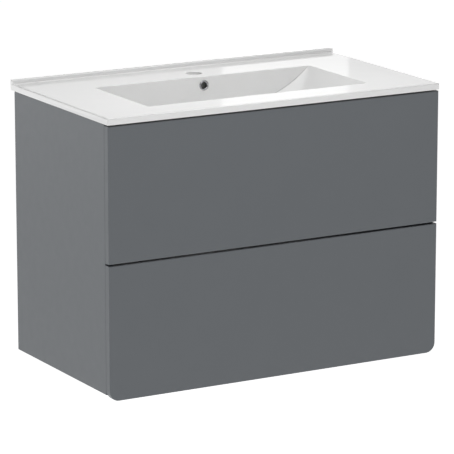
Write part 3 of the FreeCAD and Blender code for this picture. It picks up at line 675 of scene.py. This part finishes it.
def washbasin():
    """The whole casting: slab, bowl, waste boss and overflow duct, with its holes."""
    low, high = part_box("washbasin")
    under_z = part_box("front_top_rail")[1].z
    deck_z = high.z - LEDGE_HEIGHT
    floor_z = deck_z - BOWL_DEPTH
    outer_z = floor_z - CERAMIC
    basin = slab(low, high, under_z, deck_z)
    combine(basin, lofted(bowl_rings(CERAMIC, outer_z, under_z + SKIN), "bowl_shell"), "UNION")
    add_duct(basin, under_z, outer_z)

    up = Vector((0, 0, 1))
    boss_bottom = Vector((0, WASTE_Y, low.z))
    boss_profile = (
        (0, WASTE_BOSS_RADIUS - WASTE_BOSS_ROUNDING),
        (WASTE_BOSS_ROUNDING, WASTE_BOSS_RADIUS),
        (floor_z - low.z - CERAMIC / 4, WASTE_BOSS_RADIUS),
    )
    combine(basin, turned(boss_bottom, up, boss_profile, "waste_boss"), "UNION")

    combine(basin, bowl_hollow(floor_z, deck_z), "DIFFERENCE")
    hollow_duct(basin, under_z, outer_z)

    waste = mouth(WASTE_HOLE_RADIUS, WASTE_SEAT_RADIUS, floor_z - low.z, SEAT_STEPS, CERAMIC)
    combine(basin, turned(boss_bottom, up, waste, "waste_hole"), "DIFFERENCE")
    tap = mouth(TAP_HOLE_RADIUS, TAP_HOLE_ROUNDING, deck_z - under_z, TAP_STEPS, SKIN)
    combine(basin, turned(Vector((0, TAP_Y, under_z)), up, tap, "tap_hole"), "DIFFERENCE")
    centre, inwards = overflow_axis(deck_z)
    overflow = ((-CERAMIC / 2, OVERFLOW_HOLE_RADIUS), (DUCT_WALL + DUCT_THICKNESS / 2, OVERFLOW_HOLE_RADIUS))
    combine(basin, turned(centre, inwards, overflow, "overflow_hole"), "DIFFERENCE")

    smooth(basin, BASIN_SHARP_ANGLE)
    basin.data.materials.clear()
    basin.data.materials.append(FINISHES["glazed_ceramic"])
    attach(basin, "cabinet")
    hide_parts("washbasin")


def overflow_axis(deck_z):
    """The overflow's centre on the bowl's leaning back wall, and the direction into the wall."""
    lean = math.radians(BACK_DRAFT)
    centre = Vector((0, BOWL_BACK - OVERFLOW_DROP * math.tan(lean), deck_z - OVERFLOW_DROP))
    return centre, Vector((0, math.cos(lean), -math.sin(lean)))


def overflow_trim():
    """The turned chrome ring in the overflow: a domed flange and a sleeve."""
    centre, inwards = overflow_axis(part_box("washbasin")[1].z - LEDGE_HEIGHT)
    data = bmesh.new()
    loops = ring_loops(data, turned_rings(centre, inwards, TRIM_PROFILE))
    for lower, upper in zip(loops, loops[1:] + loops[:1]):
        join_loops(data, lower, upper)
    bmesh.ops.recalc_face_normals(data, faces=data.faces)
    trim = object_from(data, "overflow_trim")
    smooth(trim, TRIM_SHARP_ANGLE)
    trim.data.materials.append(FINISHES["chrome"])
    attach(trim, "cabinet")
    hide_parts("overflow_ring")


# ---------------------------------------------------------------- studio

FLOOR_DROP = 0.9                # from the object's lowest point to the floor
FLOOR_SIZE = 60.0
FLOOR_GLOW = 0.97               # keeps the floor pale right across the view
SKY_STRENGTH = 0.04
HORIZON_STRENGTH = 0.75         # a bright band round the horizon, which shallow views see in the glaze
HORIZON_TOP = 0.20              # sine of the elevation where the band has faded
WATTS_PER_RADIANCE = math.pi    # of an area light, for each square metre
SKY_SEEN = 1.0                  # the backdrop behind the floor's far edge

# name: azimuth, elevation, distance, width, height, radiance
SOFT_BOXES = {
    "overhead": (0, 88, 2.2, 2.4, 2.4, 1.6),
    "front_high": (-35, 60, 2.2, 2.0, 1.2, 0.9),
    "front_left": (-60, 5, 1.2, 0.5, 1.4, 0.25),
    "behind": (150.4, 16, 2.6, 3.4, 1.1, 0.80),
    "behind_left": (-150, 10, 2.6, 2.4, 1.4, 0.7),
}
BOWL_LIGHT = (0.0, 0.0, 0.30)   # a low soft box over the rim, from the middle of the rim's front edge
BOWL_LIGHT_SIZE = (0.8, 0.25)
BOWL_LIGHT_TILT = -38.0         # elevation that it faces, towards the bowl's back wall
BOWL_LIGHT_RADIANCE = 0.85
STRIP_DISTANCE = 2.2            # a narrow soft box behind the object, mirrored in the glaze
STRIP_HEIGHT = 1.0
STRIP_LEFT = -0.010             # its two edges, from the line of sight
STRIP_RIGHT = 0.345
STRIP_RADIANCE = 0.40


def studio_floor():
    """A plain pale floor, well below the wall-hung object."""
    half = FLOOR_SIZE / 2
    z = cad_low.z - FLOOR_DROP
    data = bmesh.new()
    corners = ((-half, -half), (half, -half), (half, half), (-half, half))
    data.faces.new([data.verts.new((x, y, z)) for x, y in corners])
    floor = object_from(data, "studio_floor")
    made = Finish("studio_floor", (0.9, 0.9, 0.9), 0.8)
    made.colour(made.blend(made.noise(2.0, 3.0), (0.89, 0.89, 0.89), (0.91, 0.91, 0.91)))
    made.shader.inputs["Emission Color"].default_value = (1.0, 1.0, 1.0, 1.0)
    made.shader.inputs["Emission Strength"].default_value = FLOOR_GLOW
    floor.data.materials.append(made.material)


def direction(azimuth, elevation):
    """Unit vector from the object towards a place at this azimuth (0 is the front) and elevation."""
    a = math.radians(azimuth)
    e = math.radians(elevation)
    return Vector((math.sin(a) * math.cos(e), -math.cos(a) * math.cos(e), math.sin(e)))


def soft_box(name, place, facing, width, height, radiance):
    """A soft box of even radiance, square to the direction it faces."""
    light = bpy.data.lights.new(name, "AREA")
    light.shape = "RECTANGLE"
    light.size = width
    light.size_y = height
    light.energy = radiance * width * height * WATTS_PER_RADIANCE
    lamp = bpy.data.objects.new(name, light)
    bpy.context.scene.collection.objects.link(lamp)
    lamp.location = place
    lamp.rotation_euler = (-facing).to_track_quat("Z", "Y").to_euler()
    lamp.visible_camera = False


def soft_boxes():
    for name, (azimuth, elevation, distance, width, height, radiance) in SOFT_BOXES.items():
        away = direction(azimuth, elevation)
        soft_box(name, middle + away * distance, -away, width, height, radiance)

    rim = Vector((middle.x, cad_low.y, cad_high.z - LEDGE_HEIGHT))
    facing = direction(180, BOWL_LIGHT_TILT)
    soft_box("over_bowl", rim + Vector(BOWL_LIGHT), facing, *BOWL_LIGHT_SIZE, BOWL_LIGHT_RADIANCE)

    away = direction(VIEW_AZIMUTH + 180, VIEW_ELEVATION)
    right = direction(VIEW_AZIMUTH + 90, 0)
    place = Vector((middle.x, middle.y, cad_high.z)) + away * STRIP_DISTANCE
    place += right * ((STRIP_LEFT + STRIP_RIGHT) / 2)
    level = direction(VIEW_AZIMUTH, 0)
    soft_box("strip", place, level, STRIP_RIGHT - STRIP_LEFT, STRIP_HEIGHT, STRIP_RADIANCE)


def world_light():
    """A sky that brightens to the horizon; where the camera looks past the floor it sees a white backdrop."""
    world = bpy.data.worlds.new("studio")
    world.use_nodes = True
    tree = world.node_tree
    sky = tree.nodes["Background"]
    sky.inputs["Color"].default_value = (1.0, 1.0, 1.0, 1.0)
    place = tree.nodes.new("ShaderNodeTexCoord")
    split = tree.nodes.new("ShaderNodeSeparateXYZ")
    fade = tree.nodes.new("ShaderNodeMapRange")
    fade.inputs["From Max"].default_value = HORIZON_TOP
    fade.inputs["To Min"].default_value = HORIZON_STRENGTH
    fade.inputs["To Max"].default_value = SKY_STRENGTH
    tree.links.new(place.outputs["Generated"], split.inputs["Vector"])
    tree.links.new(split.outputs["Z"], fade.inputs["Value"])
    tree.links.new(fade.outputs["Result"], sky.inputs["Strength"])
    seen = tree.nodes.new("ShaderNodeBackground")
    seen.inputs["Color"].default_value = (1.0, 1.0, 1.0, 1.0)
    seen.inputs["Strength"].default_value = SKY_SEEN
    path = tree.nodes.new("ShaderNodeLightPath")
    mix = tree.nodes.new("ShaderNodeMixShader")
    tree.links.new(path.outputs["Is Camera Ray"], mix.inputs["Fac"])
    tree.links.new(sky.outputs["Background"], mix.inputs[1])
    tree.links.new(seen.outputs["Background"], mix.inputs[2])
    tree.links.new(mix.outputs["Shader"], tree.nodes["World Output"].inputs["Surface"])
    bpy.context.scene.world = world


def camera():
    data = bpy.data.cameras.new("camera")
    data.lens = CAMERA_LENS
    data.clip_end = CAMERA_REACH
    eye = bpy.data.objects.new("camera", data)
    bpy.context.scene.collection.objects.link(eye)
    back = direction(VIEW_AZIMUTH, VIEW_ELEVATION)
    turn = back.to_track_quat("Z", "Y")
    right = turn @ Vector((1, 0, 0))
    up = turn @ Vector((0, 1, 0))
    aim = middle + right * AIM_RIGHT + up * AIM_UP
    eye.location = aim + back * CAMERA_DISTANCE
    eye.rotation_euler = turn.to_euler()
    bpy.context.scene.camera = eye


bpy.context.scene.view_settings.view_transform = "Standard"
dress_nodes()
washbasin()
overflow_trim()
studio_floor()
soft_boxes()
world_light()
camera()
